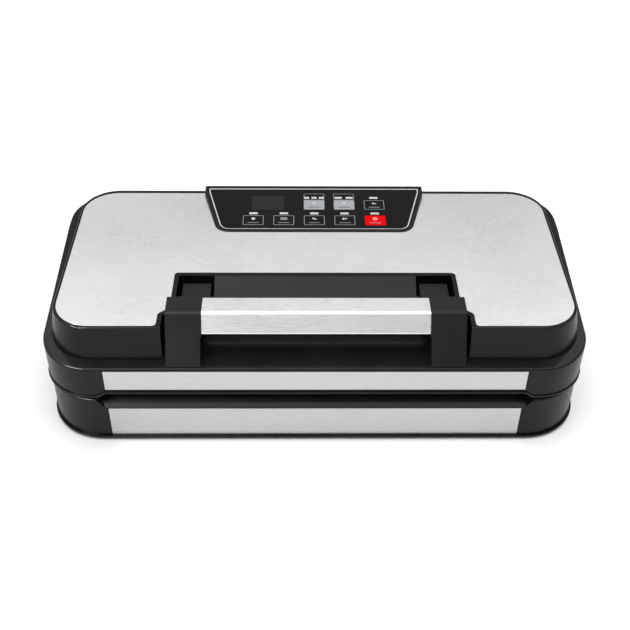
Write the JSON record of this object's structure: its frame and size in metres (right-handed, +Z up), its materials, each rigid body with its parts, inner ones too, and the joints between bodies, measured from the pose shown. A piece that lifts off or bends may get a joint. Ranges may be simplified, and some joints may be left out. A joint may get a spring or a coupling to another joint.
{
  "type": "vacuum sealer",
  "caption": "Countertop vacuum sealer with a brushed steel lid plate, lift-up bar handle, raised touch panel and a front bag slot over a sealing bar and vacuum trough.",
  "frame": {"origin": "centre of the footprint, at the height the feet stand on", "axes": "+X to the user's right along the long side, +Y to the hinge at the back, +Z up"},
  "size_m": [0.4134, 0.2094, 0.108],
  "materials": {
    "housing": "fine texture",
    "steel": "brushed along X",
    "handle_bar": "satin anodised",
    "handle_plastic": "fine texture",
    "rubber": "matte",
    "silicone": "soft satin",
    "foam": "closed-cell foam",
    "tape": "coated woven tape",
    "metal": "zinc plated",
    "dark_metal": "black oxide",
    "bar_aluminium": "extruded",
    "inner_plastic": "moulded",
    "gloss_black": "gloss",
    "trim": "satin silver-blue",
    "display": "smoked",
    "lens": "diffusing white",
    "key_black": "gloss",
    "key_grey": "satin",
    "key_red": "gloss",
    "board": "solder mask",
    "coil": "wound tape"
  },
  "bodies": {
    "base": {"base_housing": "housing", "bottom_cover": "housing", "feet": "rubber", "base_screws": "metal", "front_panel_lower": "steel", "drip_tray": "inner_plastic", "seal_bar": "bar_aluminium", "seal_tape": "tape", "lower_gasket": "foam", "dust_seal": "rubber", "latch_catches": "metal", "hinge_brackets": "metal", "hinge_pins": "metal", "lid_switches": "inner_plastic", "pump_motor": "metal", "pump_head": "inner_plastic", "pump_cradle": "inner_plastic", "vacuum_tube": "silicone", "release_valve": "inner_plastic", "board_posts": "inner_plastic", "power_board": "board", "transformer": "metal", "transformer_coil": "coil", "board_parts": "inner_plastic", "ac_inlet": "housing"},
    "lid": {"lid_shell": "housing", "top_plate": "steel", "front_strip_upper": "steel", "lid_liner": "inner_plastic", "latch_cheeks": "inner_plastic", "switch_pins": "inner_plastic", "liner_screws": "metal", "upper_gasket": "foam", "pressure_strip": "silicone", "hinge_leaves": "metal", "handle_pivots": "dark_metal", "latch_pins": "metal", "panel_bezel": "housing", "panel_trim": "trim", "panel_overlay": "gloss_black", "display_window": "display", "display_module": "inner_plastic", "indicator_lenses": "lens", "control_board": "board", "board_screws": "metal", "tact_switches": "inner_plastic"},
    "key_seal": {"key_seal": "key_black"},
    "key_vacuum_seal": {"key_vacuum_seal": "key_black"},
    "key_pulse": {"key_pulse": "key_black"},
    "key_cycle": {"key_cycle": "key_black"},
    "key_stop": {"key_stop": "key_red"},
    "key_food": {"key_food": "key_grey"},
    "key_pressure": {"key_pressure": "key_grey"},
    "key_accessory": {"key_accessory": "key_black"},
    "handle": {"handle_arm_left": "handle_plastic", "handle_arm_right": "handle_plastic", "handle_bar": "handle_bar"},
    "latch_left": {"latch_left": "inner_plastic"},
    "latch_right": {"latch_right": "inner_plastic"}
  },
  "joints": [
    {"name": "lid_hinge", "type": "hinge", "parent": "base", "child": "lid", "pos_m": [0, 0.098, 0.0426], "axis": [-1, 0, 0], "range_deg": [0, 75]},
    {"name": "handle_lift", "type": "hinge", "parent": "lid", "child": "handle", "pos_m": [0, -0.039, 0.087], "axis": [-1, 0, 0], "range_deg": [0, 65]},
    {"name": "latch_left_swing", "type": "hinge", "parent": "lid", "child": "latch_left", "pos_m": [-0.176, -0.043, 0.061], "axis": [1, 0, 0], "range_deg": [0, 8]},
    {"name": "latch_right_swing", "type": "hinge", "parent": "lid", "child": "latch_right", "pos_m": [0.176, -0.043, 0.061], "axis": [1, 0, 0], "range_deg": [0, 8]},
    {"name": "key_seal_press", "type": "slide", "parent": "lid", "child": "key_seal", "axis": [0, 0, -1], "range_m": [0, 0.0003], "stiffness_N_per_m": 2000},
    {"name": "key_vacuum_seal_press", "type": "slide", "parent": "lid", "child": "key_vacuum_seal", "axis": [0, 0, -1], "range_m": [0, 0.0003], "stiffness_N_per_m": 2000},
    {"name": "key_pulse_press", "type": "slide", "parent": "lid", "child": "key_pulse", "axis": [0, 0, -1], "range_m": [0, 0.0003], "stiffness_N_per_m": 2000},
    {"name": "key_cycle_press", "type": "slide", "parent": "lid", "child": "key_cycle", "axis": [0, 0, -1], "range_m": [0, 0.0003], "stiffness_N_per_m": 2000},
    {"name": "key_stop_press", "type": "slide", "parent": "lid", "child": "key_stop", "axis": [0, 0, -1], "range_m": [0, 0.0003], "stiffness_N_per_m": 2000},
    {"name": "key_food_press", "type": "slide", "parent": "lid", "child": "key_food", "axis": [0, 0, -1], "range_m": [0, 0.0003], "stiffness_N_per_m": 2000},
    {"name": "key_pressure_press", "type": "slide", "parent": "lid", "child": "key_pressure", "axis": [0, 0, -1], "range_m": [0, 0.0003], "stiffness_N_per_m": 2000},
    {"name": "key_accessory_press", "type": "slide", "parent": "lid", "child": "key_accessory", "axis": [0, 0, -1], "range_m": [0, 0.0003], "stiffness_N_per_m": 2000}
  ],
  "couplings": [
    {"joint": "latch_left_swing", "follows": "handle_lift", "ratio": 0.12},
    {"joint": "latch_right_swing", "follows": "handle_lift", "ratio": 0.12}
  ]
}
